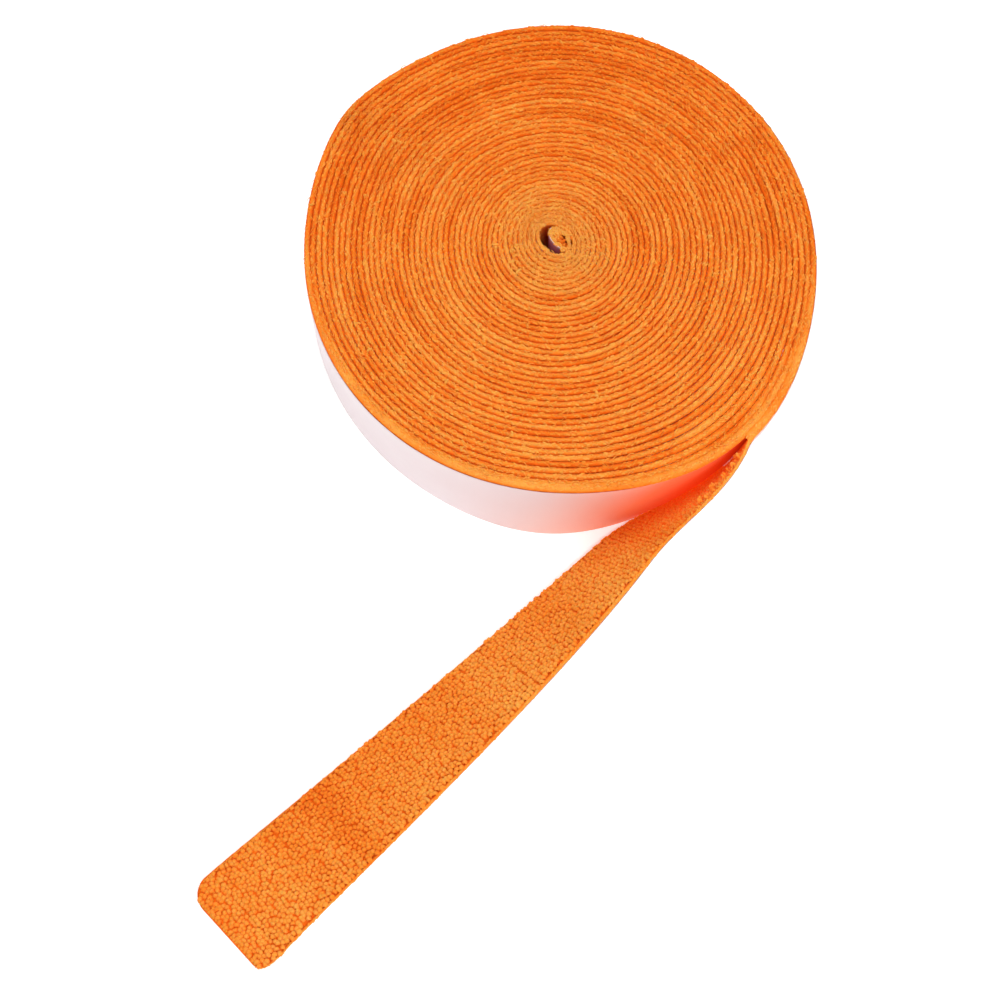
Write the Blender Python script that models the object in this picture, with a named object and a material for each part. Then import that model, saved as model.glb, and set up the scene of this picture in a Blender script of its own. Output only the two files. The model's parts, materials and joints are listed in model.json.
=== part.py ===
"""Towelling grip tape, wound flat on itself without a core, with its free end laid out.

The tape is three layers: terry cloth, an adhesive film on its back, and a release paper over
the film. The terry faces the coil's axis and the paper faces out. The last sixth of the outer
lap, the leader and the tip are bodies of their own, so that the free end can be unwound, swung
and lifted. The terry and film of the very end are one more, which peels off the tip's paper.

Origin: on the table, at the middle of the coil, where the first lap passes. +Z is up.
"""

import math

import bmesh
import bpy
from mathutils import Matrix, Vector

MM = 0.001

# The tape's layers.
TAPE_WIDTH = 27 * MM
ADHESIVE = 0.10 * MM
PAPER = 0.12 * MM
LOOSE_TERRY = 2.0 * MM        # thickness of the pile where nothing presses on it
LAYER_GAP = 0.04 * MM         # between neighbouring layers
LAP_GAP = 0.18 * MM           # between one lap's paper and the next lap's terry
CUT_GAP = 0.30 * MM           # between two bodies, where the one strip is cut for a joint

# The winding. Laps are counted from the eye outwards, and run clockwise seen from above.
LAPS = 44
FACETS = 16                   # per lap
EYE_RADIUS = 2.9 * MM
EYE_CENTRE = Vector((-0.9, 3.35, 0)) * MM
EYE_OVAL = 0.8 * MM           # how far the eye is drawn out along its long axis
EYE_ANGLE = math.radians(131)
TIGHT_PITCH = 0.90 * MM       # lap to lap at the eye
PITCH = 1.47 * MM             # lap to lap further out
SETTLING_LAPS = 8             # laps over which the oval and the tight pitch fade

# A soft shoulder in the outer laps, and the flare of their upper edge by the take-off.
SHOULDER = 2.9 * MM
SHOULDER_ANGLE = math.radians(144)
SHOULDER_SPREAD = math.radians(15)
FLARE = 4.7 * MM
FLARE_ANGLE = math.radians(-50)
FLARE_SPREAD = math.radians(20)

# Where the outer laps' lower edge stands out or in: the direction, its spread, and how far.
BASE_LEANS = (
    (math.radians(-92), math.radians(15), 2.4 * MM),
    (math.radians(-155), math.radians(22), -0.8 * MM),
)

# The free end. A run is a distance along it from the take-off.
TAKE_OFF = math.radians(-47.3)
WRAP_ANGLE = math.radians(60)
FREE_LENGTH = 172 * MM
FLAT_RUN = 165 * MM           # from here on it lies flat
TWIST = math.radians(49.5)    # what is left of its tilt once it is clear of the coil
TWIST_POWER = 0.6
EASING_RUN = 37 * MM
FOOT_INSET = 6.4 * MM         # how far the lower edge tucks in towards the coil
FOOT_START = 1 * MM
FOOT_END = 38 * MM
FOOT_DRIFT = 4 * MM           # and how far it bends the same way by the tip
PILE_START = 20 * MM          # the pile opens up between these two runs
PILE_END = 60 * MM
TIP_HINGE_RUN = 130 * MM
PEEL_HINGE_RUN = 147 * MM     # from here on the terry and film come off the paper
STATION_STEP = 6 * MM
INNER_CORNER = 5 * MM
OUTER_CORNER = 1.5 * MM
CORNER_STATIONS = 5

UP = Vector((0, 0, 1))
ALONG = Vector((math.sin(TAKE_OFF), -math.cos(TAKE_OFF), 0))
OUTWARD = Vector((math.cos(TAKE_OFF), math.sin(TAKE_OFF), 0))

SIDES = ((0, 1), (3, 2), (1, 2), (0, 3))  # corners that a strip's four sides run between

TERRY_COLOUR = (0.91, 0.23, 0.022, 1)
ADHESIVE_COLOUR = (0.83, 0.62, 0.42, 1)
PAPER_COLOUR = (0.87, 0.78, 0.79, 1)


def clear_scene():
    for obj in list(bpy.data.objects):
        bpy.data.objects.remove(obj, do_unlink=True)


def material(name, colour, roughness):
    made = bpy.data.materials.new(name)
    made.use_nodes = True
    shader = made.node_tree.nodes["Principled BSDF"]
    shader.inputs["Base Color"].default_value = colour
    shader.inputs["Roughness"].default_value = roughness
    return made


def ease(value, start, end):
    """0 before start, 1 after end, with a soft curve between."""
    part = min(max((value - start) / (end - start), 0), 1)
    return part * part * (3 - 2 * part)


# The coil ------------------------------------------------------------------------------------


def settled(lap):
    return math.exp(-lap / SETTLING_LAPS)


def lap_radius(lap):
    """Mean radius of the towel face."""
    gathered = (PITCH - TIGHT_PITCH) * SETTLING_LAPS * (1 - settled(lap))
    return EYE_RADIUS + PITCH * lap - gathered


def wound_terry(lap):
    """Thickness of the terry, pressed between two laps of paper."""
    pitch = PITCH - (PITCH - TIGHT_PITCH) * settled(lap)
    return pitch - ADHESIVE - PAPER - 2 * LAYER_GAP - LAP_GAP


def lap_angle(lap):
    """Direction in which the tape faces outwards."""
    return TAKE_OFF + 2 * math.pi * (LAPS - lap)


def bump(angle, centre, spread):
    """A bell curve round the circle, and its slope."""
    turn = (angle - centre + math.pi) % (2 * math.pi) - math.pi
    height = math.exp(-0.5 * (turn / spread) ** 2)
    return height, -height * turn / spread**2


def wound_point(lap, depth, height):
    """A point of the coil, this deep behind the towel face and this far up the tape.

    The outline is set by its reach in each direction, so laps stay parallel.
    """
    angle = lap_angle(lap)
    facing = Vector((math.cos(angle), math.sin(angle), 0))
    sideways = Vector((-facing.y, facing.x, 0))
    grown = lap / LAPS
    oval = EYE_OVAL * settled(lap)
    shoulder, shoulder_slope = bump(angle, SHOULDER_ANGLE, SHOULDER_SPREAD)
    reach = lap_radius(lap) + oval * math.cos(2 * (angle - EYE_ANGLE))
    reach += SHOULDER * grown**3 * shoulder
    slope = -2 * oval * math.sin(2 * (angle - EYE_ANGLE))
    slope += SHOULDER * grown**3 * shoulder_slope
    flare = FLARE * grown**6 * bump(angle, FLARE_ANGLE, FLARE_SPREAD)[0]
    base = sum(out * bump(angle, centre, spread)[0] for centre, spread, out in BASE_LEANS)
    reach += depth + flare * height / TAPE_WIDTH
    reach += base * grown**6 * (1 - height / TAPE_WIDTH)
    return EYE_CENTRE * (1 - grown) + facing * reach + sideways * slope + UP * height


def wound_section(lap, near, far):
    """The four corners of a layer that lies between two depths behind the towel face."""
    return [
        wound_point(lap, near, 0),
        wound_point(lap, near, TAPE_WIDTH),
        wound_point(lap, far, TAPE_WIDTH),
        wound_point(lap, far, 0),
    ]


def lap_stations(first, last):
    """Laps at which the strip bends, between its two ends."""
    steps = [first]
    for facet in range(LAPS * FACETS):
        if first < facet / FACETS < last:
            steps.append(facet / FACETS)
    return steps + [last]


# The free end --------------------------------------------------------------------------------


def tilt(run):
    """Angle of the tape above the table: on edge at the take-off, flat at the tip."""
    if run >= FLAT_RUN:
        return 0
    start = math.acos(FLARE / TAPE_WIDTH)
    eased = (start - TWIST) * math.exp(-run / EASING_RUN)
    return TWIST * (1 - run / FLAT_RUN) ** TWIST_POWER + eased


def free_terry(run):
    return wound_terry(LAPS) + (LOOSE_TERRY - wound_terry(LAPS)) * ease(run, PILE_START, PILE_END)


def free_point(run, depth, across):
    """A point of the free end, this deep behind the towel face and this far across the tape."""
    rise = OUTWARD * math.cos(tilt(run)) + UP * math.sin(tilt(run))
    towel_side = UP * math.cos(tilt(run)) - OUTWARD * math.sin(tilt(run))
    thickness = free_terry(run) + ADHESIVE + PAPER + 2 * LAYER_GAP
    foot = wound_point(LAPS, wound_terry(LAPS) + ADHESIVE + PAPER + 2 * LAYER_GAP, 0)
    inset = FOOT_INSET * ease(run, FOOT_START, FOOT_END) + FOOT_DRIFT * (run / FREE_LENGTH) ** 2
    foot += ALONG * run - OUTWARD * inset
    return foot + towel_side * (thickness - depth) + rise * across


def corner_cut(run, radius):
    """How far a rounded corner of the tip takes the edge in."""
    beyond = max(run - (FREE_LENGTH - radius), 0)
    return radius - math.sqrt(max(radius**2 - beyond**2, 0))


def free_section(run, near, far):
    low = corner_cut(run, INNER_CORNER)
    high = TAPE_WIDTH - corner_cut(run, OUTER_CORNER)
    return [
        free_point(run, near, low),
        free_point(run, near, high),
        free_point(run, far, high),
        free_point(run, far, low),
    ]


def run_stations(first, last):
    """Runs at which the strip bends. The layers share them, so that their faces match."""
    straight = FREE_LENGTH - INNER_CORNER
    runs = [STATION_STEP * i for i in range(int(straight / STATION_STEP) + 1)]
    for i in range(CORNER_STATIONS):
        runs.append(straight + INNER_CORNER * math.sin(math.pi / 2 * i / CORNER_STATIONS))
    for hinge in (TIP_HINGE_RUN, PEEL_HINGE_RUN):
        runs += [hinge - CUT_GAP / 2, hinge + CUT_GAP / 2]
    between = [run for run in sorted(runs) if first + LAYER_GAP < run < last - LAYER_GAP]
    return [first, *between, last]


# Layers --------------------------------------------------------------------------------------


def layer_depths(layer, terry):
    """Where a layer starts and ends behind the towel face."""
    film = terry + LAYER_GAP
    sheet = film + ADHESIVE + LAYER_GAP
    return {
        "terry": (0, terry),
        "adhesive": (film, film + ADHESIVE),
        "paper": (sheet, sheet + PAPER),
    }[layer]


def wound_layer(layer, first, last):
    return [
        wound_section(lap, *layer_depths(layer, wound_terry(lap)))
        for lap in lap_stations(first, last)
    ]


def free_layer(layer, first, last):
    return [
        free_section(run, *layer_depths(layer, free_terry(run)))
        for run in run_stations(first, last)
    ]


def strip(name, sections, finish, collection, hinge=None):
    """A closed strip lofted through its sections, whose lean and thickness change along it.

    Its twisted sides are cut along the same diagonal in every layer, so stacked faces match.
    """
    shape = bmesh.new()
    rings = [[shape.verts.new(corner) for corner in section] for section in sections]
    for ring, after in zip(rings, rings[1:]):
        for low, high in SIDES:
            shape.faces.new((ring[low], ring[high], after[high]))
            shape.faces.new((ring[low], after[high], after[low]))
    shape.faces.new(rings[0])
    shape.faces.new(rings[-1])
    bmesh.ops.recalc_face_normals(shape, faces=shape.faces)
    mesh = bpy.data.meshes.new(name)
    shape.to_mesh(mesh)
    shape.free()
    mesh.materials.append(finish)
    obj = bpy.data.objects.new(name, mesh)
    collection.objects.link(obj)
    if hinge:
        mesh.transform(hinge.matrix_world.inverted())
        obj.parent = hinge
    return obj


def hinge_line(name, place, axis, collection, parent=None):
    """An empty on a joint's axis, with its own Z along the axis."""
    empty = bpy.data.objects.new(name, None)
    empty.empty_display_size = TAPE_WIDTH / 2
    collection.objects.link(empty)
    turned = axis.to_track_quat("Z", "Y").to_matrix().to_4x4()
    empty.parent = parent
    empty.matrix_world = Matrix.Translation(place) @ turned
    bpy.context.view_layer.update()
    return empty


def outermost(points):
    """The plan position of the point that stands furthest from the coil's axis."""
    furthest = max(points, key=lambda point: point.xy.length)
    return Vector((furthest.x, furthest.y, 0))


def crease(run):
    """A point and the direction of the line across the towel face that the tape curls up about."""
    low = free_point(run, 0, 0)
    return low, low - free_point(run, 0, TAPE_WIDTH)


def main():
    clear_scene()
    roll = bpy.data.collections.new("grip_tape_roll")
    bpy.context.scene.collection.children.link(roll)
    finishes = {
        "terry": material("terry", TERRY_COLOUR, 0.9),
        "adhesive": material("adhesive", ADHESIVE_COLOUR, 0.3),
        "paper": material("release_paper", PAPER_COLOUR, 0.45),
    }

    wrap_lap = LAPS - WRAP_ANGLE / (2 * math.pi)
    half_cut = CUT_GAP / 2
    cut_laps = half_cut / (2 * math.pi * lap_radius(LAPS))
    paper_back = layer_depths("paper", wound_terry(LAPS))

    # Each hinge stands just outside the strip's outer face, or on its upper face at the tip,
    # so that the two cut ends swing apart.
    wrap_hinge = hinge_line(
        "wrap_peel_axis", outermost(wound_section(wrap_lap, *paper_back)), UP, roll
    )
    leader_hinge = hinge_line(
        "leader_swing_axis", outermost(wound_section(LAPS, *paper_back)), UP, roll, wrap_hinge
    )
    lift_hinge = hinge_line("tip_lift_axis", *crease(TIP_HINGE_RUN), roll, leader_hinge)
    peel_hinge = hinge_line("towel_peel_axis", *crease(PEEL_HINGE_RUN), roll, lift_hinge)

    for layer, finish in finishes.items():
        coil = wound_layer(layer, 0, wrap_lap - cut_laps)
        wrap = wound_layer(layer, wrap_lap + cut_laps, LAPS - cut_laps)
        leader = free_layer(layer, half_cut, TIP_HINGE_RUN - half_cut)
        tip_end = FREE_LENGTH if layer == "paper" else PEEL_HINGE_RUN - half_cut
        tip = free_layer(layer, TIP_HINGE_RUN + half_cut, tip_end)
        strip(layer + "_coil", coil, finish, roll)
        strip(layer + "_wrap", wrap, finish, roll, wrap_hinge)
        strip(layer + "_leader", leader, finish, roll, leader_hinge)
        strip(layer + "_tip", tip, finish, roll, lift_hinge)
        if layer != "paper":
            end = free_layer(layer, PEEL_HINGE_RUN + half_cut, FREE_LENGTH)
            strip(layer + "_end", end, finish, roll, peel_hinge)


main()
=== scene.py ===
import json
import math
import random

import bmesh
import bpy
from mathutils import Matrix, Vector, noise


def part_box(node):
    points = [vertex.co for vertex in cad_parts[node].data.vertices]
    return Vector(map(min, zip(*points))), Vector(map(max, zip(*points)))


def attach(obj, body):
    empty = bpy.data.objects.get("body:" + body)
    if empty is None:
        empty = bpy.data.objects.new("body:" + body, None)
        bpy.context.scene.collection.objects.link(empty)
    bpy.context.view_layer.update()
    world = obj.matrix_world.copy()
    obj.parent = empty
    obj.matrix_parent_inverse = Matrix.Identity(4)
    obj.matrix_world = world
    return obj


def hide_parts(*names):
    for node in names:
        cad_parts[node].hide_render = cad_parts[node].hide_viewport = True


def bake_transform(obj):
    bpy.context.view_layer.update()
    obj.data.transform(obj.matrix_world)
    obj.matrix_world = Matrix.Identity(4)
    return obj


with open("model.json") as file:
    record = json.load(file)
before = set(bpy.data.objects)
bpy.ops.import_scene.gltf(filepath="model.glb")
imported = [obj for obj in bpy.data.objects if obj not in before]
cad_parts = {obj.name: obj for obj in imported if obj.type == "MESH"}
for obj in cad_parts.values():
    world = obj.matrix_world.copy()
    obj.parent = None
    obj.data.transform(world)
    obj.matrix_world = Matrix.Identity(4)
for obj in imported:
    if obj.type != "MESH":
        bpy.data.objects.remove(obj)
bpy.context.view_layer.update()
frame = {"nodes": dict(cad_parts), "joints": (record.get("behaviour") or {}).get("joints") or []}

mm = 0.001
up = Vector((0, 0, 1))
joints = {joint["name"]: joint for joint in frame["joints"]}
print("frame loaded,", len(frame["nodes"]), "nodes")


view = {
    "place": Vector((-14.6, -320.7, 734.5)) * mm,
    "tilt": math.radians(19.81),
    "lens": 111.9,
}

studio = {
    "worldColour": (1.0, 0.99, 0.98, 1),
    "worldStrength": 0.62,
    "floorSize": 6.0,
    "floorColour": (0.95, 0.95, 0.95, 1),
    "floorGlow": 0.28,
}

lamps = {
    "keySoftbox": {"place": (0.55, -0.75, 1.25), "size": 0.7, "power": 11.0},
    "topSoftbox": {"place": (-0.35, 0.45, 1.5), "size": 1.2, "power": 10.0},
}


def addCamera():
    camera = bpy.data.objects.new("camera", bpy.data.cameras.new("camera"))
    camera.location = view["place"]
    camera.rotation_euler = (view["tilt"], 0, 0)
    camera.data.lens = view["lens"]
    camera.data.sensor_width = 36
    camera.data.clip_start = 0.01
    bpy.context.scene.collection.objects.link(camera)
    bpy.context.scene.camera = camera


def addLamp(name, lamp):
    light = bpy.data.lights.new(name, "AREA")
    light.size = lamp["size"]
    light.energy = lamp["power"]
    holder = bpy.data.objects.new(name, light)
    holder.location = lamp["place"]
    holder.rotation_euler = (-Vector(lamp["place"])).to_track_quat("-Z", "Y").to_euler()
    bpy.context.scene.collection.objects.link(holder)


def addStudio():
    world = bpy.data.worlds.new("studio")
    world.use_nodes = True
    sky = world.node_tree.nodes["Background"]
    sky.inputs["Color"].default_value = studio["worldColour"]
    sky.inputs["Strength"].default_value = studio["worldStrength"]
    bpy.context.scene.world = world
    bpy.context.scene.view_settings.view_transform = "Standard"

    bm = bmesh.new()
    bmesh.ops.create_grid(bm, x_segments=1, y_segments=1, size=studio["floorSize"] / 2)
    bmesh.ops.translate(bm, verts=bm.verts, vec=(0, 0, -0.1 * mm))
    mesh = bpy.data.meshes.new("floor")
    bm.to_mesh(mesh)
    bm.free()
    paint = bpy.data.materials.new("floor")
    paint.use_nodes = True
    shader = paint.node_tree.nodes["Principled BSDF"]
    shader.inputs["Base Color"].default_value = studio["floorColour"]
    shader.inputs["Roughness"].default_value = 0.9
    shader.inputs["Specular IOR Level"].default_value = 0.1
    shader.inputs["Emission Color"].default_value = studio["floorColour"]
    shader.inputs["Emission Strength"].default_value = studio["floorGlow"]
    mesh.materials.append(paint)
    floor = bpy.data.objects.new("floor", mesh)
    bpy.context.scene.collection.objects.link(floor)


addCamera()
addStudio()
for lampName, lamp in lamps.items():
    addLamp(lampName, lamp)
print("studio ready")


# how the tape is wound and how its free end lies
tape = {
    "width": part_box("terry_coil")[1].z,
    "film": 0.10 * mm,
    "paper": 0.12 * mm,
    "loosePile": 2.0 * mm,
    "layerGap": 0.04 * mm,
    "lapGap": 0.18 * mm,
}

winding = {
    "laps": 44,                        # counted from the eye, clockwise from above
    "eyeRadius": 2.9 * mm,
    "eyeCentre": Vector((-0.9, 3.35, 0)) * mm,
    "eyeOval": 0.8 * mm,
    "eyeAngle": math.radians(131),
    "tightPitch": 0.90 * mm,
    "pitch": 1.47 * mm,
    "settlingLaps": 8,
    "shoulder": 2.9 * mm,
    "shoulderAngle": math.radians(144),
    "shoulderSpread": math.radians(15),
    "flare": 4.7 * mm,                 # lean of the outer laps' upper edge at the take-off
    "flareAngle": math.radians(-50),
    "flareSpread": math.radians(20),
    "baseLeans": [                     # where the outer laps' lower edge stands out or in
        {"angle": math.radians(-92), "spread": math.radians(15), "out": 2.4 * mm},
        {"angle": math.radians(-155), "spread": math.radians(22), "out": -0.8 * mm},
    ],
}

freeEnd = {
    "takeOff": math.radians(-47.3),
    "length": 172 * mm,
    "flatRun": 165 * mm,               # from here on it lies flat
    "twist": math.radians(49.5),
    "twistPower": 0.6,
    "easingRun": 37 * mm,
    "inset": 6.4 * mm,
    "insetStart": 1 * mm,
    "insetEnd": 38 * mm,
    "drift": 4 * mm,
    "pileStart": 20 * mm,
    "pileEnd": 60 * mm,
    "innerCorner": 6 * mm,
    "outerCorner": 2.8 * mm,
}

ahead = Vector((math.sin(freeEnd["takeOff"]), -math.cos(freeEnd["takeOff"]), 0))
outward = Vector((math.cos(freeEnd["takeOff"]), math.sin(freeEnd["takeOff"]), 0))


def ease(value, start, end):
    part = min(max((value - start) / (end - start), 0), 1)
    return part * part * (3 - 2 * part)


def settled(lap):
    return math.exp(-lap / winding["settlingLaps"])


def towelRadius(lap):
    gathered = (winding["pitch"] - winding["tightPitch"]) * winding["settlingLaps"] * (1 - settled(lap))
    return winding["eyeRadius"] + winding["pitch"] * lap - gathered


def tapeLength(lap):
    # length of tape between the eye and this lap
    spread = winding["settlingLaps"]
    gathered = (winding["pitch"] - winding["tightPitch"]) * spread * (lap - spread * (1 - settled(lap)))
    return 2 * math.pi * (winding["eyeRadius"] * lap + winding["pitch"] * lap * lap / 2 - gathered)


def woundTerry(lap):
    pitch = winding["pitch"] - (winding["pitch"] - winding["tightPitch"]) * settled(lap)
    return pitch - tape["film"] - tape["paper"] - 2 * tape["layerGap"] - tape["lapGap"]


def backing(terry):
    # depth of the paper's outer face behind the towel face
    return terry + tape["film"] + tape["paper"] + 2 * tape["layerGap"]


def bell(angle, centre, spread):
    turn = (angle - centre + math.pi) % (2 * math.pi) - math.pi
    height = math.exp(-0.5 * (turn / spread) ** 2)
    return height, -height * turn / spread**2


def lapAngle(lap):
    return freeEnd["takeOff"] + 2 * math.pi * (winding["laps"] - lap)


def coilPoint(lap, depth, across):
    angle = lapAngle(lap)
    facing = Vector((math.cos(angle), math.sin(angle), 0))
    sideways = Vector((-facing.y, facing.x, 0))
    grown = lap / winding["laps"]
    oval = winding["eyeOval"] * settled(lap)
    height, slope = bell(angle, winding["shoulderAngle"], winding["shoulderSpread"])
    shoulder = winding["shoulder"] * grown**3
    turned = 2 * (angle - winding["eyeAngle"])
    reach = towelRadius(lap) + oval * math.cos(turned) + shoulder * height + depth
    lean = winding["flare"] * grown**6 * bell(angle, winding["flareAngle"], winding["flareSpread"])[0]
    reach += lean * across / tape["width"]
    base = sum(foot["out"] * bell(angle, foot["angle"], foot["spread"])[0] for foot in winding["baseLeans"])
    reach += base * grown**6 * (1 - across / tape["width"])
    slide = shoulder * slope - 2 * oval * math.sin(turned)
    return winding["eyeCentre"] * (1 - grown) + facing * reach + sideways * slide + up * across


def tilt(run):
    # angle of the tape above the table: on edge at the take-off, flat at the tip
    left = 1 - run / freeEnd["flatRun"]
    if left <= 0:
        return 0
    start = math.acos(winding["flare"] / tape["width"])
    eased = (start - freeEnd["twist"]) * math.exp(-run / freeEnd["easingRun"])
    return freeEnd["twist"] * left ** freeEnd["twistPower"] + eased


def freeTerry(run):
    wound = woundTerry(winding["laps"])
    return wound + (tape["loosePile"] - wound) * ease(run, freeEnd["pileStart"], freeEnd["pileEnd"])


def freePoint(run, depth, across):
    lean = tilt(run)
    rise = outward * math.cos(lean) + up * math.sin(lean)
    towelSide = up * math.cos(lean) - outward * math.sin(lean)
    foot = coilPoint(winding["laps"], backing(woundTerry(winding["laps"])), 0)
    inset = freeEnd["inset"] * ease(run, freeEnd["insetStart"], freeEnd["insetEnd"])
    inset += freeEnd["drift"] * (run / freeEnd["length"]) ** 2
    foot += ahead * run - outward * inset
    return foot + towelSide * (backing(freeTerry(run)) - depth) + rise * across


def lapAt(run):
    return winding["laps"] + run / (2 * math.pi * towelRadius(winding["laps"]))


def tapePoint(run, depth, across):
    # a run is a distance from the take-off, negative on the coil
    if run < 0:
        return coilPoint(lapAt(run), depth, across)
    return freePoint(run, depth, across)


def terryAt(run):
    return woundTerry(lapAt(run)) if run < 0 else freeTerry(run)


def cornerCut(run, radius):
    beyond = max(run - (freeEnd["length"] - radius), 0)
    return radius - math.sqrt(max(radius**2 - beyond**2, 0))


def lowEdge(run):
    return cornerCut(run, freeEnd["innerCorner"])


def highEdge(run):
    return tape["width"] - cornerCut(run, freeEnd["outerCorner"])


def wander(size, *place):
    # smooth noise from -1 to 1 over a wavelength
    return noise.noise(Vector([*place, 0, 0][:3]) / size)


def lapStations(first, last, step):
    stations = [first]
    while stations[-1] < last:
        stations.append(stations[-1] + step / (2 * math.pi * towelRadius(stations[-1])))
    stations[-1] = last
    return stations


def runStations(first, last, step):
    count = max(round((last - first) / step), 1)
    return [first + (last - first) * i / count for i in range(count + 1)]


finishes = {
    "terryLight": (0.94, 0.36, 0.062, 1),
    "terryMid": (0.89, 0.225, 0.021, 1),
    # the deep and crease colours are painted shade for the pile's crevices
    "terryDeepShade": (0.80, 0.125, 0.005, 1),
    "terryCreaseShade": (0.64, 0.095, 0.002, 1),
    # painted glow, standing in for light through the pile
    "terryPaintedGlow": (1.0, 0.11, 0.006, 1),
    "paper": (0.80, 0.715, 0.735, 1),
    "paperShade": (0.77, 0.67, 0.69, 1),
    # mauve is painted shade on the paper, salmon and ember painted reflections of the pile, and the paper's
    # glow a painted glow
    "paperPaintedShade": (0.75, 0.34, 0.58, 1),
    "paperPaintedReflection": (1.0, 0.40, 0.20, 1),
    "paperPaintedGlow": (1.0, 0.08, 0.012, 1),
    "paperPaintedReflectionDeep": (0.95, 0.10, 0.015, 1),
    "film": (0.85, 0.60, 0.38, 1),
    "plain": (1, 1, 1, 1),
}

terryLook = {
    "fibreScale": 1900,
    "fleckScale": 620,
    "paintedLight": 0.62,               # shares of the level that picks the colour
    "tint": 0.30,
    "flecks": 0.34,
    "fibres": 0.22,
    "levelDrop": 0.20,
    "roughness": 0.92,
    "specular": 0.06,
    "subsurface": 0.3,
    "subsurfaceRadius": (1.0, 0.28, 0.06),
    "subsurfaceScale": 1.6 * mm,
    "sheen": 0.12,
    "sheenRoughness": 0.5,
    "sheenTint": (1.0, 0.5, 0.2, 1),
    "glow": 0.22,
    "bump": 0.55,
    "bumpDepth": 0.35 * mm,
}

paperLook = {
    "toneScale": 26,
    "glossScale": 420,
    "gloss": 0.22,
    "roughness": 0.34,
    "specular": 0.3,
    "glow": 0.3,
    "grainScale": 900,
    "bump": 0.08,
    "bumpDepth": 0.1 * mm,
}

filmLook = {
    "toneScale": 140,
    "shade": 0.86,
    "roughness": 0.24,
    "grainScale": 700,
    "bump": 0.3,
    "bumpDepth": 0.1 * mm,
}


def newMaterial(name):
    made = bpy.data.materials.new(name)
    made.use_nodes = True
    return made, made.node_tree, made.node_tree.nodes["Principled BSDF"]


def link(tree, start, end):
    tree.links.new(start, end)


def noiseNode(tree, scale, detail):
    where = tree.nodes.new("ShaderNodeTexCoord")
    texture = tree.nodes.new("ShaderNodeTexNoise")
    texture.inputs["Scale"].default_value = scale
    texture.inputs["Detail"].default_value = detail
    link(tree, where.outputs["Object"], texture.inputs["Vector"])
    return texture.outputs["Fac"]


def rampNode(tree, value, stops):
    ramp = tree.nodes.new("ShaderNodeValToRGB")
    ramp.color_ramp.elements[0].position, ramp.color_ramp.elements[0].color = stops[0]
    ramp.color_ramp.elements[1].position, ramp.color_ramp.elements[1].color = stops[-1]
    for position, colour in stops[1:-1]:
        ramp.color_ramp.elements.new(position).color = colour
    link(tree, value, ramp.inputs["Fac"])
    return ramp.outputs["Color"]


def mathNode(tree, operation, first, second):
    node = tree.nodes.new("ShaderNodeMath")
    node.operation = operation
    for socket, value in zip(node.inputs, (first, second)):
        if isinstance(value, (int, float)):
            socket.default_value = value
        else:
            link(tree, value, socket)
    return node.outputs[0]


def scaledNode(tree, value, share):
    return mathNode(tree, "MULTIPLY", value, share)


def attributeNode(tree, name):
    node = tree.nodes.new("ShaderNodeAttribute")
    node.attribute_name = name
    return node.outputs["Fac"]


def multiplyNode(tree, first, second):
    mix = tree.nodes.new("ShaderNodeMix")
    mix.data_type = "RGBA"
    mix.blend_type = "MULTIPLY"
    mix.inputs["Factor"].default_value = 1
    link(tree, first, mix.inputs[6])
    link(tree, second, mix.inputs[7])
    return mix.outputs[2]


def bumpNode(tree, height, strength, distance):
    bump = tree.nodes.new("ShaderNodeBump")
    bump.inputs["Strength"].default_value = strength
    bump.inputs["Distance"].default_value = distance
    link(tree, height, bump.inputs["Height"])
    return bump.outputs["Normal"]


def makeTerryMaterial():
    made, tree, shader = newMaterial("orange_terry")
    look = terryLook
    # the level picks the colour: a point high in the pile is lighter and one deep in it darker, which is
    # painted shade in the pile's crevices; tint is a slow drift of the dye along the tape, with painted
    # shade on the coil's far side and across the towel face
    fibres = noiseNode(tree, look["fibreScale"], 3)
    flecks = noiseNode(tree, look["fleckScale"], 2)
    level = scaledNode(tree, attributeNode(tree, "paintedLight"), look["paintedLight"])
    for value, share in (
        (attributeNode(tree, "tint"), look["tint"]),
        (flecks, look["flecks"]),
        (fibres, look["fibres"]),
    ):
        level = mathNode(tree, "ADD", level, scaledNode(tree, value, share))
    colour = rampNode(tree, mathNode(tree, "SUBTRACT", level, look["levelDrop"]), [
        (0.06, finishes["terryCreaseShade"]),
        (0.30, finishes["terryDeepShade"]),
        (0.58, finishes["terryMid"]),
        (0.92, finishes["terryLight"]),
    ])
    link(tree, colour, shader.inputs["Base Color"])
    shader.inputs["Roughness"].default_value = look["roughness"]
    shader.inputs["Specular IOR Level"].default_value = look["specular"]
    shader.inputs["Subsurface Weight"].default_value = look["subsurface"]
    shader.inputs["Subsurface Radius"].default_value = look["subsurfaceRadius"]
    shader.inputs["Subsurface Scale"].default_value = look["subsurfaceScale"]
    shader.inputs["Sheen Weight"].default_value = look["sheen"]
    shader.inputs["Sheen Roughness"].default_value = look["sheenRoughness"]
    shader.inputs["Sheen Tint"].default_value = look["sheenTint"]
    # glow is painted emission, standing in for the light that comes through the pile where the tape leaves
    # the coil
    glow = scaledNode(tree, attributeNode(tree, "glow"), look["glow"])
    shader.inputs["Emission Color"].default_value = finishes["terryPaintedGlow"]
    link(tree, glow, shader.inputs["Emission Strength"])
    height = mathNode(tree, "ADD", fibres, scaledNode(tree, flecks, 0.8))
    link(tree, bumpNode(tree, height, look["bump"], look["bumpDepth"]), shader.inputs["Normal"])
    return made


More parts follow.
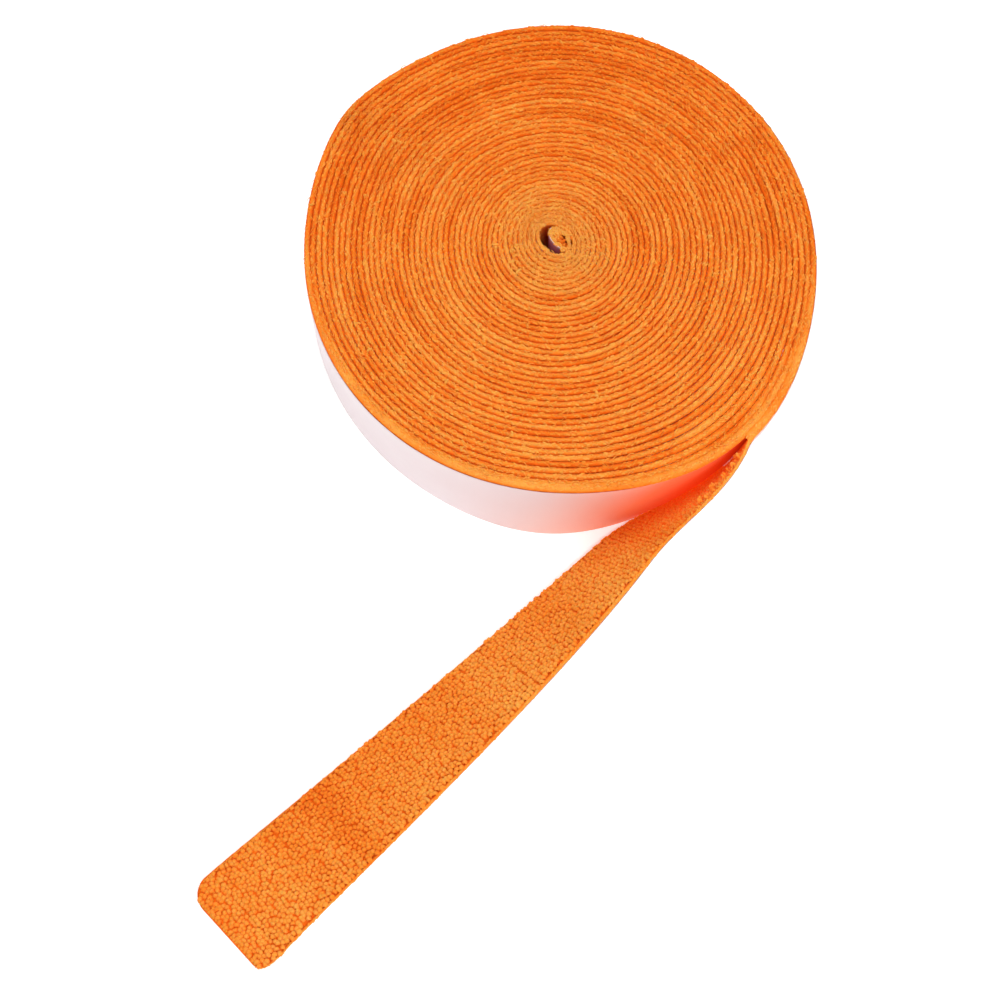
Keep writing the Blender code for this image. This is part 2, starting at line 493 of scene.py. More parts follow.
def makePaperMaterial():
    made, tree, shader = newMaterial("release_paper")
    look = paperLook
    tone = rampNode(tree, noiseNode(tree, look["toneScale"], 2), [
        (0.35, finishes["paperShade"]),
        (0.62, finishes["paper"]),
    ])
    # the level runs from painted mauve shade in the eye, past plain paper at a half, to the pile's painted
    # reflection
    shade = rampNode(tree, attributeNode(tree, "paintedLight"), [
        (0.0, finishes["paperPaintedShade"]),
        (0.5, finishes["plain"]),
        (0.75, finishes["paperPaintedReflection"]),
        (1.0, finishes["paperPaintedReflectionDeep"]),
    ])
    link(tree, multiplyNode(tree, tone, shade), shader.inputs["Base Color"])
    gloss = scaledNode(tree, noiseNode(tree, look["glossScale"], 3), look["gloss"])
    link(tree, mathNode(tree, "ADD", gloss, look["roughness"]), shader.inputs["Roughness"])
    shader.inputs["Specular IOR Level"].default_value = look["specular"]
    # the paper's glow is painted emission beside the free end, standing in for the pile's orange light
    glow = scaledNode(tree, attributeNode(tree, "glow"), look["glow"])
    shader.inputs["Emission Color"].default_value = finishes["paperPaintedGlow"]
    link(tree, glow, shader.inputs["Emission Strength"])
    grain = noiseNode(tree, look["grainScale"], 3)
    link(tree, bumpNode(tree, grain, look["bump"], look["bumpDepth"]), shader.inputs["Normal"])
    return made


def makeFilmMaterial():
    made, tree, shader = newMaterial("adhesive_film")
    look = filmLook
    shaded = [look["shade"] * part for part in finishes["film"][:3]]
    tone = rampNode(tree, noiseNode(tree, look["toneScale"], 2), [
        (0.3, (*shaded, 1)),
        (0.7, finishes["film"]),
    ])
    link(tree, tone, shader.inputs["Base Color"])
    shader.inputs["Roughness"].default_value = look["roughness"]
    grain = noiseNode(tree, look["grainScale"], 2)
    link(tree, bumpNode(tree, grain, look["bump"], look["bumpDepth"]), shader.inputs["Normal"])
    return made


terryMaterial = makeTerryMaterial()
paperMaterial = makePaperMaterial()
filmMaterial = makeFilmMaterial()
print("materials ready")


smoothCard = 50
smoothPile = 80


def finishPiece(name, bm, material, smoothAngle=smoothCard):
    mesh = bpy.data.meshes.new(name)
    bm.to_mesh(mesh)
    bm.free()
    mesh.materials.append(material)
    mesh.shade_smooth()
    mesh.set_sharp_from_angle(angle=math.radians(smoothAngle))
    piece = bpy.data.objects.new(name, mesh)
    bpy.context.scene.collection.objects.link(piece)
    return piece


def makeStrip(name, stations, section, place, material, shades=None, smoothAngle=smoothCard):
    # cut as a flat grid, its long edges joined into a tube of the tape's section, then wound;
    # shades are the material's further values along the strip
    sections = [section(station) for station in stations]
    sides = len(sections[0])
    steps = len(stations) - 1
    bm = bmesh.new()
    bmesh.ops.create_grid(bm, x_segments=steps, y_segments=sides, size=0.5)
    paintedLightLayer = bm.verts.layers.float.new("paintedLight")
    shades = shades or {}
    shadeLayers = {title: bm.verts.layers.float.new(title) for title in shades}
    values = {title: [shade(station) for station in stations] for title, shade in shades.items()}
    for vert in bm.verts:
        i = round((vert.co.x + 0.5) * steps)
        j = round((vert.co.y + 0.5) * sides) % sides
        depth, across, paintedLight = sections[i][j]
        vert.co = place(stations[i], depth, across)
        vert[paintedLightLayer] = paintedLight
        for title, layer in shadeLayers.items():
            vert[layer] = values[title][i]
    bmesh.ops.remove_doubles(bm, verts=bm.verts, dist=0.002 * mm)
    bmesh.ops.holes_fill(bm, edges=[edge for edge in bm.edges if edge.is_boundary], sides=0)
    bmesh.ops.recalc_face_normals(bm, faces=bm.faces)
    return finishPiece(name, bm, material, smoothAngle)


yarns = {
    "loop": {"bend": 0.60 * mm, "radius": 0.40 * mm, "sides": 6, "steps": 5},
    "nub": {"bend": 0.36 * mm, "radius": 0.21 * mm, "sides": 4, "steps": 3},
    "fibre": {"bend": 0.85 * mm, "radius": 0.08 * mm, "sides": 3, "steps": 4},
}


def makeYarnMesh(name, bend, radius, sides, steps):
    # one arch of yarn, standing on its two feet, along X
    bm = bmesh.new()
    bmesh.ops.create_circle(bm, cap_ends=True, radius=radius, segments=sides)
    bmesh.ops.translate(bm, verts=bm.verts, vec=(bend, 0, 0))
    bmesh.ops.spin(
        bm, geom=bm.verts[:] + bm.edges[:] + bm.faces[:], cent=(0, 0, 0), axis=(0, 1, 0),
        angle=-math.pi, steps=steps, use_merge=False, use_duplicate=False,
    )
    bmesh.ops.recalc_face_normals(bm, faces=bm.faces)
    mesh = bpy.data.meshes.new(name)
    bm.to_mesh(mesh)
    bm.free()
    return mesh


yarnMeshes = {name: makeYarnMesh(name, **yarn) for name, yarn in yarns.items()}
loopHeight = yarns["loop"]["bend"] + yarns["loop"]["radius"]
# painted shade: each arch is darker at its feet than at its top
yarnPaintedLight = {"foot": 0.37, "rise": 0.54, "power": 0.8}


def growYarn(name, spots, material):
    # a spot is the kind of yarn, its place and size, its tint and its glow
    bm = bmesh.new()
    paintedLights, tints, glows = [], [], []
    for kind, matrix, tint, glow in spots:
        arch = yarnMeshes[kind].copy()
        tallest = max(vert.co.z for vert in arch.vertices)
        for vert in arch.vertices:
            raised = (max(vert.co.z, 0) / tallest) ** yarnPaintedLight["power"]
            paintedLights.append(yarnPaintedLight["foot"] + yarnPaintedLight["rise"] * raised)
        tints += [tint] * len(arch.vertices)
        glows += [glow] * len(arch.vertices)
        arch.transform(matrix)
        bm.from_mesh(arch)
        bpy.data.meshes.remove(arch)
    piece = finishPiece(name, bm, material, smoothPile)
    for title, values in (("paintedLight", paintedLights), ("tint", tints), ("glow", glows)):
        attribute = piece.data.attributes.new(title, "FLOAT", "POINT")
        attribute.data.foreach_set("value", values)
    return piece


def turnedFrame(origin, along, normal, spin, size):
    side = normal.cross(along).normalized()
    along = side.cross(normal)
    axes = Matrix((along, side, normal)).transposed().to_4x4()
    turn = Matrix.Rotation(spin, 4, "Z")
    scale = Matrix.Diagonal((*size, 1))
    return Matrix.Translation(origin) @ axes @ turn @ scale


def faceFrame(place, station, nudge, depth, across, spin, size):
    # a loop standing on the towel face, rooted at this depth
    origin = place(station, depth, across)
    along = (place(station + nudge, depth, across) - origin).normalized()
    normal = (place(station, depth - mm, across) - origin).normalized()
    return turnedFrame(origin, along, normal, spin, size)


coilPile = {
    "step": 0.65 * mm,
    "paperStep": 2.0 * mm,
    "paperSink": 1.7 * mm,       # the paper's edge below the pile's
    "stitch": 1.3 * mm,
    "swell": 0.23 * mm,          # how far the pile spreads over the paper's edge on each side
    "swellWave": 0.06 * mm,
    "fuzzyLaps": 9,              # the first laps are handled most, and their pile is the loosest
    "nubSpacing": 0.62 * mm,
    "tuftShare": 0.006,
    "bands": 4,
    "firstLap": 1.0,             # inside it, the tape is folded in the eye
    "spillStart": 42.9,
    "spillEnd": 43.05,
}
coilDyeAndShade = {
    "middle": 0.60,
    "drift": 0.85,
    "driftLength": 34 * mm,
    "mottle": 0.6,
    "mottleLength": 9 * mm,
    "outerLaps": 0.30,
    "farSideShade": 0.36,
    "eye": 0.85,
    "eyeLaps": 7,
    "spill": 0.35,
}
wrapTurn = math.radians(60)      # the last part of the outer lap, which peels
wrapLength = wrapTurn * towelRadius(winding["laps"])
cuts = {                         # where each ribbon starts, as a run
    "wrap": -wrapLength - 26 * mm,
    "leader": -wrapLength / 2,
    "tip": 78 * mm,
    "end": 138.5 * mm,
}


def coilTint(lap):
    # laps drift at random from deep to light orange; the outer laps are deeper, with painted shade on the
    # coil's far side
    length = tapeLength(lap)
    grown = lap / winding["laps"]
    tint = coilDyeAndShade["middle"] + coilDyeAndShade["drift"] * wander(coilDyeAndShade["driftLength"], length, 0.8 * mm * lap)
    tint += coilDyeAndShade["mottle"] * wander(coilDyeAndShade["mottleLength"], length, 0.3, 2 * mm * lap)
    # the outer laps are deeper; on the far side they are painted deeper still and at the front lighter, as
    # shade
    tint -= grown * (coilDyeAndShade["outerLaps"] + coilDyeAndShade["farSideShade"] * math.sin(lapAngle(lap)))
    tint += coilDyeAndShade["eye"] * math.exp(-lap / coilDyeAndShade["eyeLaps"])
    return tint + coilDyeAndShade["spill"] * spill(lap)


def edgeRise(lap):
    length = tapeLength(lap)
    return 0.26 * mm * wander(55 * mm, length, 1.0) + 0.24 * mm * wander(3.1 * mm, length, 5.0)


def spill(lap):
    # at the front, the outermost lap's pile is loose and leans in over its neighbour
    outermost = ease(lap, coilPile["spillStart"], coilPile["spillEnd"])
    return outermost * ease(-math.sin(lapAngle(lap)), -0.1, 0.6)


def lapSpread(lap):
    # how much further apart the laps' upper edges are where the coil widens
    angle = lapAngle(lap)
    grown = lap / winding["laps"]
    flared = bell(angle, winding["flareAngle"], winding["flareSpread"])[0]
    shouldered = bell(angle, winding["shoulderAngle"], winding["shoulderSpread"])[0]
    wider = 6 * grown**5 * winding["flare"] * flared
    wider += 3 * grown**2 * winding["shoulder"] * shouldered
    return wider / winding["laps"]


def coilCrown(lap, top, outermost=False):
    # the rounded upper edge of one lap, from its towel side to its back
    thick = woundTerry(lap)
    loose = spill(lap) * mm
    length = tapeLength(lap)
    phase = 2 * math.pi * length / coilPile["stitch"]
    swell = coilPile["swell"] + lapSpread(lap) / 2
    near = swell + coilPile["swellWave"] * math.cos(phase)
    far = swell + coilPile["swellWave"] * math.cos(phase + 2.2)
    ridge = 0.5 + 0.3 * wander(5 * mm, length, 3 * mm * lap, 2.0)
    # the crease values are painted shade where neighbouring laps meet
    crease = 0.12 + 0.1 * wander(6 * mm, length, 7.0) + 0.4 * math.exp(-lap / 5)
    fall = (0.38 - 0.16 * math.exp(-lap / 6)) * mm
    back = (thick + 0.36 * mm, top - 0.6 * mm, 0.45) if outermost else (thick + far, top - fall, crease)
    return [
        (-near - 0.8 * loose, top - fall + 0.3 * loose, crease),
        (0.15 * thick - 0.8 * loose, top - 0.09 * mm + 0.2 * loose, 0.5),
        (ridge * thick - 0.3 * loose, top + 0.08 * mm, 0.72),
        (0.85 * thick, top - 0.09 * mm, 0.5),
        back,
    ]


def coilSection(lap):
    thick = woundTerry(lap)
    top = tape["width"] - 0.45 * mm + edgeRise(lap)
    # the faces down in the gaps between laps are painted darkest, as shade
    return [
        (0.0, 0.7 * mm, 0.1),
        (0.0, top - 1.4 * mm, 0.0),
        *coilCrown(lap, top),
        (thick, top - 1.4 * mm, 0.0),
        (thick, 0.7 * mm, 0.1),
        (0.75 * thick, 0.1 * mm, 0.3),
        (0.25 * thick, 0.1 * mm, 0.3),
    ]


def layerSection(near, far, low, high, lowPaintedLight=0.5, highPaintedLight=0.5):
    return [(near, low, lowPaintedLight), (near, high, highPaintedLight), (far, high, highPaintedLight), (far, low, lowPaintedLight)]


def coilFilm(lap):
    near = woundTerry(lap) + tape["layerGap"]
    return layerSection(near, near + tape["film"], 0.4 * mm, tape["width"] - 2.2 * mm)


def pastTakeOff(lap):
    # how far round the outermost whole lap this is from where the free end leaves it
    return tapeLength(lap) - tapeLength(winding["laps"] - 1)


# painted glow on the paper beside the take-off
def paperPaintedGlow(lap):
    past = pastTakeOff(lap)
    return ease(past, -8 * mm, 16 * mm) * (1 - ease(past, 14 * mm, 56 * mm))


def coilPaper(lap):
    # painted reflection: the paper beside the free end is painted toward the pile's orange, most of all
    # near the table
    near = woundTerry(lap) + 2 * tape["layerGap"] + tape["film"]
    ripple = 0.12 * mm * wander(7 * mm, tapeLength(lap), 8.0)
    past = pastTakeOff(lap)
    beside = ease(past, -14 * mm, -6 * mm)
    lowPaintedReflection = 0.5 * beside * (1 - ease(past, -10 * mm, 78 * mm))
    highPaintedReflection = 0.4 * beside * (1 - ease(past, -10 * mm, 60 * mm))
    high = tape["width"] - coilPile["paperSink"] + ripple
    return layerSection(near, near + tape["paper"], 0.02 * mm, high, 0.5 + lowPaintedReflection, 0.5 + highPaintedReflection)


def coilFrame(draw, lap, depth, root, lean, spin, size):
    # an arch of yarn standing roughly on end on the coil's upper face, roughly along the lap
    origin = coilPoint(lap, depth, root)
    along = (coilPoint(lap + 0.002, depth, root) - origin).normalized()
    stood = Vector((draw.uniform(-lean, lean), draw.uniform(-lean, lean), 1)).normalized()
    return turnedFrame(origin, along, stood, draw.uniform(-spin, spin), size)


def edgeLoops(first, last, seed):
    # tufts, nubs and stray fibres along the upper edge of the laps
    draw = random.Random(seed)
    spots = []
    lap = first
    while lap < last:
        thick = woundTerry(lap)
        loose = spill(lap) * mm
        fuzzy = math.exp(-((lap / coilPile["fuzzyLaps"]) ** 3))
        tint = coilTint(lap)
        root = tape["width"] - 0.70 * mm + edgeRise(lap) + 0.15 * loose
        depth = thick * draw.uniform(0.0, 1.0) - draw.random() * loose
        size = (draw.uniform(0.8, 1.7), draw.uniform(0.8, 1.4), draw.uniform(0.75, 1.1))
        spots.append(("nub", coilFrame(draw, lap, depth, root, 0.35, 0.5 + 0.8 * fuzzy, size),
                      tint + draw.uniform(-0.25, 0.25), 0))
        if draw.random() < 0.45 + 0.5 * fuzzy:
            size = (draw.uniform(0.6, 1.1), 1, draw.uniform(0.7, 1.1))
            depth = thick * draw.uniform(-0.2, 1.2) - 0.8 * loose
            spots.append(("fibre", coilFrame(draw, lap, depth, root, 0.5, 0.9, size),
                          tint + draw.uniform(0.0, 0.4), 0))
        if draw.random() < coilPile["tuftShare"] * (0.2 + lap / winding["laps"] + 7 * fuzzy):
            reach = draw.uniform(0.6, 1.0)
            for _ in range(3):
                size = (
                    reach * draw.uniform(0.6, 1.0),
                    reach * draw.uniform(0.6, 1.0),
                    draw.uniform(0.6, 0.85),
                )
                depth = thick * draw.uniform(0.0, 1.0)
                spots.append(("loop", coilFrame(draw, lap, depth, root, 0.6, 1.6, size),
                              tint + draw.uniform(0.2, 0.6), 0))
        spacing = draw.uniform(0.75, 1.35) * coilPile["nubSpacing"] * (1 - 0.35 * fuzzy)
        lap += spacing / (2 * math.pi * towelRadius(lap))
    return spots


coilEnd = lapAt(cuts["wrap"])
bands = [coilPile["firstLap"]]
for number in range(coilPile["bands"]):
    bands.append(coilEnd * math.sqrt((number + 1) / coilPile["bands"]))
for number, (first, last) in enumerate(zip(bands, bands[1:])):
    letter = "abcd"[number]
    name = "terry_coil_band_" + letter
    stations = lapStations(first, last, coilPile["step"])
    terry = makeStrip(name, stations, coilSection, coilPoint, terryMaterial, {"tint": coilTint}, smoothPile)
    loops = growYarn("pile_" + letter, edgeLoops(first, last, 40 + number), terryMaterial)
    for piece in (terry, loops):
        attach(piece, "coil")
    if number == 0:
        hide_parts("terry_coil")
    print(name, len(terry.data.polygons), "faces,", len(loops.data.polygons), "in its loops")

for layer, section, material, slot, shades in (
    ("adhesive", coilFilm, filmMaterial, "adhesive", None),
    ("paper", coilPaper, paperMaterial, "release_paper", {"glow": paperPaintedGlow}),
):
    stations = lapStations(coilPile["firstLap"], coilEnd, coilPile["paperStep"])
    piece = makeStrip(layer + "_coil_roll", stations, section, coilPoint, material, shades)
    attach(piece, "coil")
    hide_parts(layer + "_coil")
    print(piece.name, len(piece.data.polygons), "faces")


# the tape's first end folds back on itself inside the eye
curl = {
    "start": towelRadius(coilPile["firstLap"]) + winding["eyeOval"] * settled(coilPile["firstLap"]),
    "long": 3.0 * mm,
    "short": 1.45 * mm,
    "shift": 1.45 * mm,
    "slide": 0.6 * mm,
    "turn": math.radians(300),
    "step": math.radians(6),
    "tint": 0.6,
    "nubs": 130,
    "fillLoops": 90,
    "tuftLoops": 10,
}
eyeAhead = Vector((math.cos(lapAngle(0)), math.sin(lapAngle(0)), 0))
eyeAside = Vector((-eyeAhead.y, eyeAhead.x, 0))


def eyePlace(ahead, aside, height):
    middle = winding["eyeCentre"] * (1 - coilPile["firstLap"] / winding["laps"])
    return middle + eyeAhead * ahead + eyeAside * aside + up * height


def curlPoint(turn, depth, across):
    # it follows the next lap round, then comes back along the slot with its paper outwards
    inside = ease(turn, 0, math.pi / 2)
    length = curl["start"] + (curl["long"] - curl["start"]) * inside
    return eyePlace(
        math.cos(turn) * (length + depth) + curl["slide"] * inside,
        math.sin(turn) * (curl["short"] + depth) + curl["shift"] * inside,
        across,
    )


def curlSection(turn):
    thick = woundTerry(coilPile["firstLap"])
    top = tape["width"] - 0.5 * mm
    # its low faces are painted dark, as shade down in the eye
    return [
        (0, 0.3 * mm, 0.0),
        (0, top - 0.9 * mm, 0.05),
        (-0.15 * mm, top - 0.4 * mm, 0.3),
        (0.2 * thick, top - 0.1 * mm, 0.6),
        (0.7 * thick, top, 0.8),
        (thick + 0.1 * mm, top - 0.3 * mm, 0.5),
        (thick, 0.3 * mm, 0.1),
    ]


def curlFilmSection(turn):
    return coilFilm(coilPile["firstLap"])


def curlPaperSection(turn):
    # the paper stands higher where it faces the slot
    near = woundTerry(coilPile["firstLap"]) + 0.18 * mm
    far = near + tape["paper"]
    high = tape["width"] - (1.9 - 1.45 * ease(turn, 2.5, 3.2)) * mm
    # low down the paper is painted mauve, as shade in the slot, and its upper edge plain
    return [
        (near, 0.02 * mm, 0.0),
        (near, high, 0.5),
        (far, high, 0.5),
        (far, high - 0.5 * mm, 0.42),
        (far, high - 1.3 * mm, 0.05),
        (far, 0.02 * mm, 0.0),
    ]


def loosePile(draw, kind, place, lean, size, tint):
    stood = Vector((draw.uniform(-lean, lean), draw.uniform(-lean, lean), 1)).normalized()
    return kind, turnedFrame(place, Vector((1, 0, 0)), stood, draw.uniform(0, 3), size), tint, 0


def curlLoops():
    draw = random.Random(12)
    spots = []
    for i in range(curl["nubs"]):
        turn = curl["turn"] * (i + 0.5) / curl["nubs"]
        place = curlPoint(turn, draw.uniform(0.0, 0.5) * mm, tape["width"] - 0.75 * mm)
        size = (draw.uniform(0.9, 1.5), draw.uniform(0.8, 1.3), draw.uniform(0.8, 1.1))
        spots.append(loosePile(draw, "nub", place, 0.4, size, 1.0 + draw.uniform(-0.3, 0.3)))
    # the pile inside the fold lies high and light at one end, deep at the other, where it is painted dark
    # as shade
    for i in range(curl["fillLoops"]):
        ahead = draw.uniform(-2.2, 3.9) * mm
        sink = ease(ahead, -1.2 * mm, 0.9 * mm)
        height = tape["width"] - (0.85 + 1.2 * sink + draw.uniform(0.0, 0.4)) * mm
        place = eyePlace(ahead, (1.45 + draw.uniform(-1.2, 1.1) - 0.5 * sink) * mm, height)
        size = (draw.uniform(0.5, 0.8), draw.uniform(0.6, 0.9), draw.uniform(0.7, 1.1))
        tint = 0.9 - 1.5 * sink + draw.uniform(-0.2, 0.3)
        spots.append(loosePile(draw, "loop", place, 0.3, size, tint))
    for i in range(curl["tuftLoops"]):
        place = eyePlace((3.2 + draw.uniform(-0.6, 0.6)) * mm, draw.uniform(-0.5, 0.4) * mm,
                         tape["width"] - draw.uniform(0.9, 1.3) * mm)
        size = (draw.uniform(0.45, 0.7), draw.uniform(0.5, 0.8), draw.uniform(0.7, 1.0))
        spots.append(loosePile(draw, "loop", place, 0.4, size, 1.3))
    return spots


turns = runStations(0, curl["turn"], curl["step"])
curlTerry = makeStrip("terry_eye_curl", turns, curlSection, curlPoint, terryMaterial,
                      {"tint": lambda turn: curl["tint"]}, smoothPile)
curlPile = growYarn("pile_eye_curl", curlLoops(), terryMaterial)
curlFilm = makeStrip("adhesive_eye_curl", turns, curlFilmSection, curlPoint, filmMaterial)
curlPaper = makeStrip("paper_eye_curl", turns, curlPaperSection, curlPoint, paperMaterial)
for piece, slot in (
    (curlTerry, "terry"),
    (curlPile, "terry"),
    (curlFilm, "adhesive"),
    (curlPaper, "release_paper"),
):
    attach(piece, "coil")


# the outer lap's end and the free end are ribbons that each cross one joint
ribbon = {
    "step": 0.9 * mm,
    "columns": 26,               # of the towel face
    "loopPitch": 1.1 * mm,
    "ground": 0.36,              # depth of the pile's ground cloth, as a share of the terry
    "raggedLoops": 24,
    "glowStart": 4 * mm,
    "glowEnd": 52 * mm,
    "seamStep": 2 * mm,
    "pileFrom": 2 * mm,          # the towel face's loops start here
}
ribbonDye = {
    "middle": 0.28,
    "tip": 0.15,
    "tipStart": 90 * mm,
    "tipEnd": 150 * mm,
    "drift": 0.6,
    "driftLength": 24 * mm,
    "mottle": 0.35,
    "mottleLength": 7 * mm,
    "blendEnd": 15 * mm,
}


def ribbonTint(run):
    if run < 0:
        return coilTint(lapAt(run))
    start = coilTint(winding["laps"])
    tint = ribbonDye["middle"] - ribbonDye["tip"] * ease(run, ribbonDye["tipStart"], ribbonDye["tipEnd"])
    tint += ribbonDye["drift"] * wander(ribbonDye["driftLength"], run, 4.0)
    tint += ribbonDye["mottle"] * wander(ribbonDye["mottleLength"], run, 9.0)
    return start + (tint - start) * ease(run, 0, ribbonDye["blendEnd"])


# painted glow in the pile where the free end leaves the coil, standing in for light through the tape
def wedgePaintedGlow(run):
    grown = ease(run, -20 * mm, ribbon["glowStart"])
    return grown * (1 - ease(run, ribbon["glowStart"], ribbon["glowEnd"]))


def pileBase(run):
    # the ground cloth of the pile lies this deep below the loops' tops
    return terryAt(run) * ribbon["ground"]


def ribbonTerry(run):
    thick = terryAt(run)
    low = lowEdge(run) + 0.15 * mm
    high = highEdge(run) - 0.25 * mm
    if run < 0:
        high += edgeRise(lapAt(run)) - 0.2 * mm
    loose = ease(run, -2 * mm, 10 * mm)
    base = pileBase(run) * loose
    towel = []
    for column in range(ribbon["columns"] + 1):
        share = column / ribbon["columns"]
        across = low + (high - 0.4 * mm - low) * share
        hump = 0.25 * mm * loose * wander(1.5 * mm, run, across)
        fall = 0.35 * mm * loose * (abs(2 * share - 1) ** 8)
        # the ground between the loops is painted darker, as shade
        towel.append((base + hump + fall, across, 0.24))
    if run < 0:
        crown = coilCrown(lapAt(run), high, outermost=True)
    else:
        crown = [
            (base + 0.05 * mm, high - 0.2 * mm, 0.4),
            (base + 0.3 * (thick - base), high, 0.75),
            (base + 0.5 * (thick - base), high + 0.06 * mm, 0.8),
            (base + 0.8 * (thick - base), high, 0.7),
            (thick, high - 0.3 * mm, 0.5),
        ]
    return [*towel, *crown, (thick, high - 1.2 * mm, 0.3), (thick, low, 0.3)]


def ribbonFilm(run):
    near = terryAt(run) + tape["layerGap"]
    inset = 0.4 * mm
    return layerSection(near, near + tape["film"], lowEdge(run) + inset, highEdge(run) - 2 * inset)


def ribbonPaper(run):
    near = terryAt(run) + tape["film"] + 2 * tape["layerGap"]
    low = lowEdge(run)
    high = highEdge(run) - 0.5 * mm
    if run < 0:
        high += edgeRise(lapAt(run))
    else:
        low += 0.3 * mm
    return layerSection(near, near + tape["paper"], low, high)


def faceLoops(first, last, seed):
    # rows of loops over the towel face, crowded so that they lean on each other
    draw = random.Random(seed)
    pitch = ribbon["loopPitch"]
    spots = []
    for row in range(round((last - first) / pitch)):
        for column in range(round(tape["width"] / pitch)):
            run = first + (row + 0.5 + draw.uniform(-0.28, 0.28)) * pitch
            across = (column + 0.5 + 0.25 * (-1) ** row + draw.uniform(-0.28, 0.28)) * pitch
            spin = draw.uniform(-1.5, 1.5)
            size = (draw.uniform(0.66, 0.92), draw.uniform(1.2, 1.7), draw.uniform(0.8, 1.15))
            shade = draw.uniform(-0.22, 0.22)
            insideEdges = lowEdge(run) + 0.9 * mm < across < highEdge(run) - 0.7 * mm
            if not insideEdges or run > freeEnd["length"] - 0.7 * mm:
                continue
            small = 1 - 0.4 * (1 - ease(run, 5 * mm, 60 * mm))
            loft = pileBase(run) + 0.32 * mm
            size = (size[0] * small, size[1] * small, size[2] * loft / loopHeight)
            matrix = faceFrame(tapePoint, run, 0.5 * mm, loft, across, spin, size)
            # painted shade across the towel face, darker towards its low edge, and a painted glow strongest
            # there
            tint = ribbonTint(run) + 0.45 * (across / tape["width"] - 0.5)
            glow = wedgePaintedGlow(run) * (1 - across / tape["width"])
            spots.append(("loop", matrix, tint + shade, glow))
            if small < 0.9 or draw.random() < 0.35:
                size = (draw.uniform(0.6, 1.1), 1, draw.uniform(0.5, 0.9))
                nudged = across + draw.uniform(-0.4, 0.4) * pitch
                matrix = faceFrame(tapePoint, run, 0.5 * mm, loft * 0.8, nudged, 2 * spin, size)
                spots.append(("fibre", matrix, tint + 0.25, glow))
    return spots


def edgeSpots(first, last, draw):
    # pile that spreads over the lower edge
    spots = []
    run = first
    while run < min(last, freeEnd["length"] - 0.7 * freeEnd["innerCorner"]):
        lean = tilt(run)
        towelSide = up * math.cos(lean) - outward * math.sin(lean)
        rise = outward * math.cos(lean) + up * math.sin(lean)
        across = lowEdge(run) + 0.8 * mm
        normal = (towelSide - 0.5 * rise * math.cos(lean)).normalized()
        tucked = 1 + 1.2 * (1 - ease(run, 30 * mm, 60 * mm))
        size = (tucked * draw.uniform(0.7, 1.1), draw.uniform(0.9, 1.3), tucked * draw.uniform(0.6, 0.9))
        origin = tapePoint(run, pileBase(run) + 0.25 * mm, across)
        # the loops along the low edge are painted darker, as shade; near the take-off they carry the
        # painted glow
        spots.append(("nub", turnedFrame(origin, ahead, normal, draw.uniform(-0.6, 0.6), size),
                      ribbonTint(run) + draw.uniform(-0.4, 0.0), wedgePaintedGlow(run)))
        run += draw.uniform(0.4, 0.65) * mm
    return spots


def endSpots(draw):
    # pile along the cut end
    spots = []
    run = freeEnd["length"] - 0.75 * mm
    across = lowEdge(run) + mm
    while across < highEdge(run) - mm:
        normal = (up + 0.7 * ahead).normalized()
        size = (draw.uniform(0.5, 0.75), draw.uniform(0.8, 1.1), draw.uniform(0.6, 0.8))
        origin = tapePoint(run, pileBase(run) + 0.3 * mm, across)
        spots.append(("loop", turnedFrame(origin, outward, normal, draw.uniform(-0.9, 0.9), size),
                      ribbonTint(run) + draw.uniform(-0.2, 0.2), 0))
        across += draw.uniform(0.7, 1.1) * mm
    return spots


def raggedSpots(draw):
    # long loops pulled loose beside the take-off
    spots = []
    for _ in range(ribbon["raggedLoops"]):
        run = draw.uniform(3, 20) * mm
        across = tape["width"] - draw.uniform(0.6, 4.5) * mm
        size = (draw.uniform(0.6, 1.0), draw.uniform(0.7, 1.1), draw.uniform(1.0, 1.9))
        matrix = faceFrame(tapePoint, run, 0.5 * mm, 0.5 * mm, across, draw.uniform(-1.5, 1.5), size)
        # they carry a painted glow
        spots.append(("loop", matrix, draw.uniform(0.1, 0.7), 0.3))
    return spots


def rimLoops(first, last, seed):
    # small loops along the strip's upper edge
    draw = random.Random(seed)
    spots = edgeLoops(lapAt(first), lapAt(min(last, 0)), seed) if first < 0 else []
    run = max(first, 0)
    while run < last:
        thick = terryAt(run)
        root = highEdge(run) - 0.6 * mm
        depth = pileBase(run) + (thick - pileBase(run)) * draw.uniform(0.15, 0.85)
        origin = tapePoint(run, depth, root)
        along = (tapePoint(run + 0.4 * mm, depth, root) - origin).normalized()
        normal = (tapePoint(run, depth, root + mm) - origin).normalized()
        size = (draw.uniform(0.8, 1.5), draw.uniform(0.9, 1.4), draw.uniform(0.8, 1.05))
        spots.append(("nub", turnedFrame(origin, along, normal, draw.uniform(-0.6, 0.6), size),
                      ribbonTint(run) + draw.uniform(0.2, 0.6), 0))
        run += draw.uniform(0.3, 0.6) * mm
    return spots


def hingeSpan(joint, direction, before, after):
    place = Vector(joints[joint]["pos_m"])
    return place - direction * before, place + direction * after


def tangent(run):
    return (tapePoint(run + mm, 0, 0) - tapePoint(run - mm, 0, 0)).normalized()
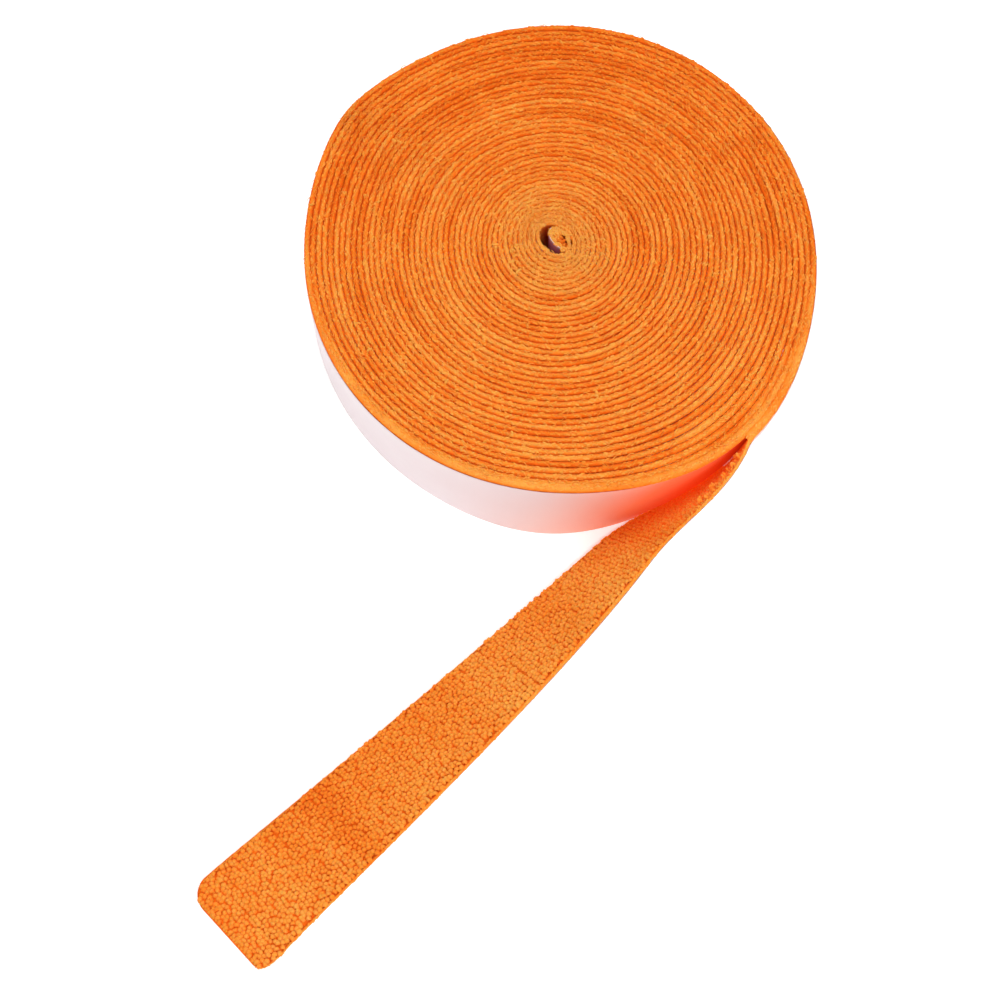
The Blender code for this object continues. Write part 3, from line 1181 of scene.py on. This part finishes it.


# each ribbon's two bodies, and the stretch between them about its joint
crossings = {
    "wrap": ("coil", "wrap", *hingeSpan("wrap_peel", tangent(-wrapLength), 6 * mm, 14 * mm)),
    "leader": ("wrap", "leader", *hingeSpan("leader_swing", ahead, 6 * mm, 16 * mm)),
    "tip": ("leader", "tip", *hingeSpan("tip_lift", ahead, 7 * mm, 7 * mm)),
    "end": ("tip", "towel_end", *hingeSpan("towel_peel", ahead, 7 * mm, 7 * mm)),
}
reaches = {
    "wrap": (cuts["wrap"], cuts["leader"]),
    "leader": (cuts["leader"], cuts["tip"]),
    "tip": (cuts["tip"], cuts["end"]),
    "end": (cuts["end"], freeEnd["length"]),
}


def stationsOf(first, last, step):
    stations = runStations(first, min(last, freeEnd["length"] - freeEnd["innerCorner"]), step)
    if last == freeEnd["length"]:
        # closer together round the corners
        corner = freeEnd["innerCorner"]
        stations += [last - corner + corner * math.sin(math.pi / 2 * i / 8) for i in range(1, 8)]
        stations.append(last - 0.02 * mm)
    return stations


for stretch, (first, last) in reaches.items():
    extras = [growYarn("rim_loops_" + stretch, rimLoops(first, last, 70), terryMaterial)]
    if last > 0:
        draw = random.Random(90)
        pileFrom = max(first, ribbon["pileFrom"])
        spots = faceLoops(pileFrom, last, 80) + edgeSpots(pileFrom, last, draw)
        if stretch == "leader":
            spots += raggedSpots(draw)
        if stretch == "end":
            spots += endSpots(draw)
        extras.append(growYarn("face_loops_" + stretch, spots, terryMaterial))
    terry = makeStrip("terry_ribbon_" + stretch, stationsOf(first, last, ribbon["step"]), ribbonTerry,
                      tapePoint, terryMaterial, {"tint": ribbonTint, "glow": wedgePaintedGlow}, smoothPile)
    film = makeStrip("adhesive_ribbon_" + stretch, stationsOf(first, last, ribbon["seamStep"]), ribbonFilm,
                     tapePoint, filmMaterial)
    for piece in (terry, *extras):
        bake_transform(piece)
    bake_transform(film)
    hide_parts("terry_" + stretch)
    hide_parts("adhesive_" + stretch)
    if stretch != "end":
        paperEnd = freeEnd["length"] if stretch == "tip" else last
        paperStations = stationsOf(first, paperEnd, ribbon["seamStep"])
        paper = makeStrip("paper_ribbon_" + stretch, paperStations, ribbonPaper, tapePoint, paperMaterial)
        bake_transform(paper)
        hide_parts("paper_" + stretch)
    print("ribbon", stretch, len(terry.data.polygons), "faces,", [len(e.data.polygons) for e in extras])

for mesh in yarnMeshes.values():
    bpy.data.meshes.remove(mesh)
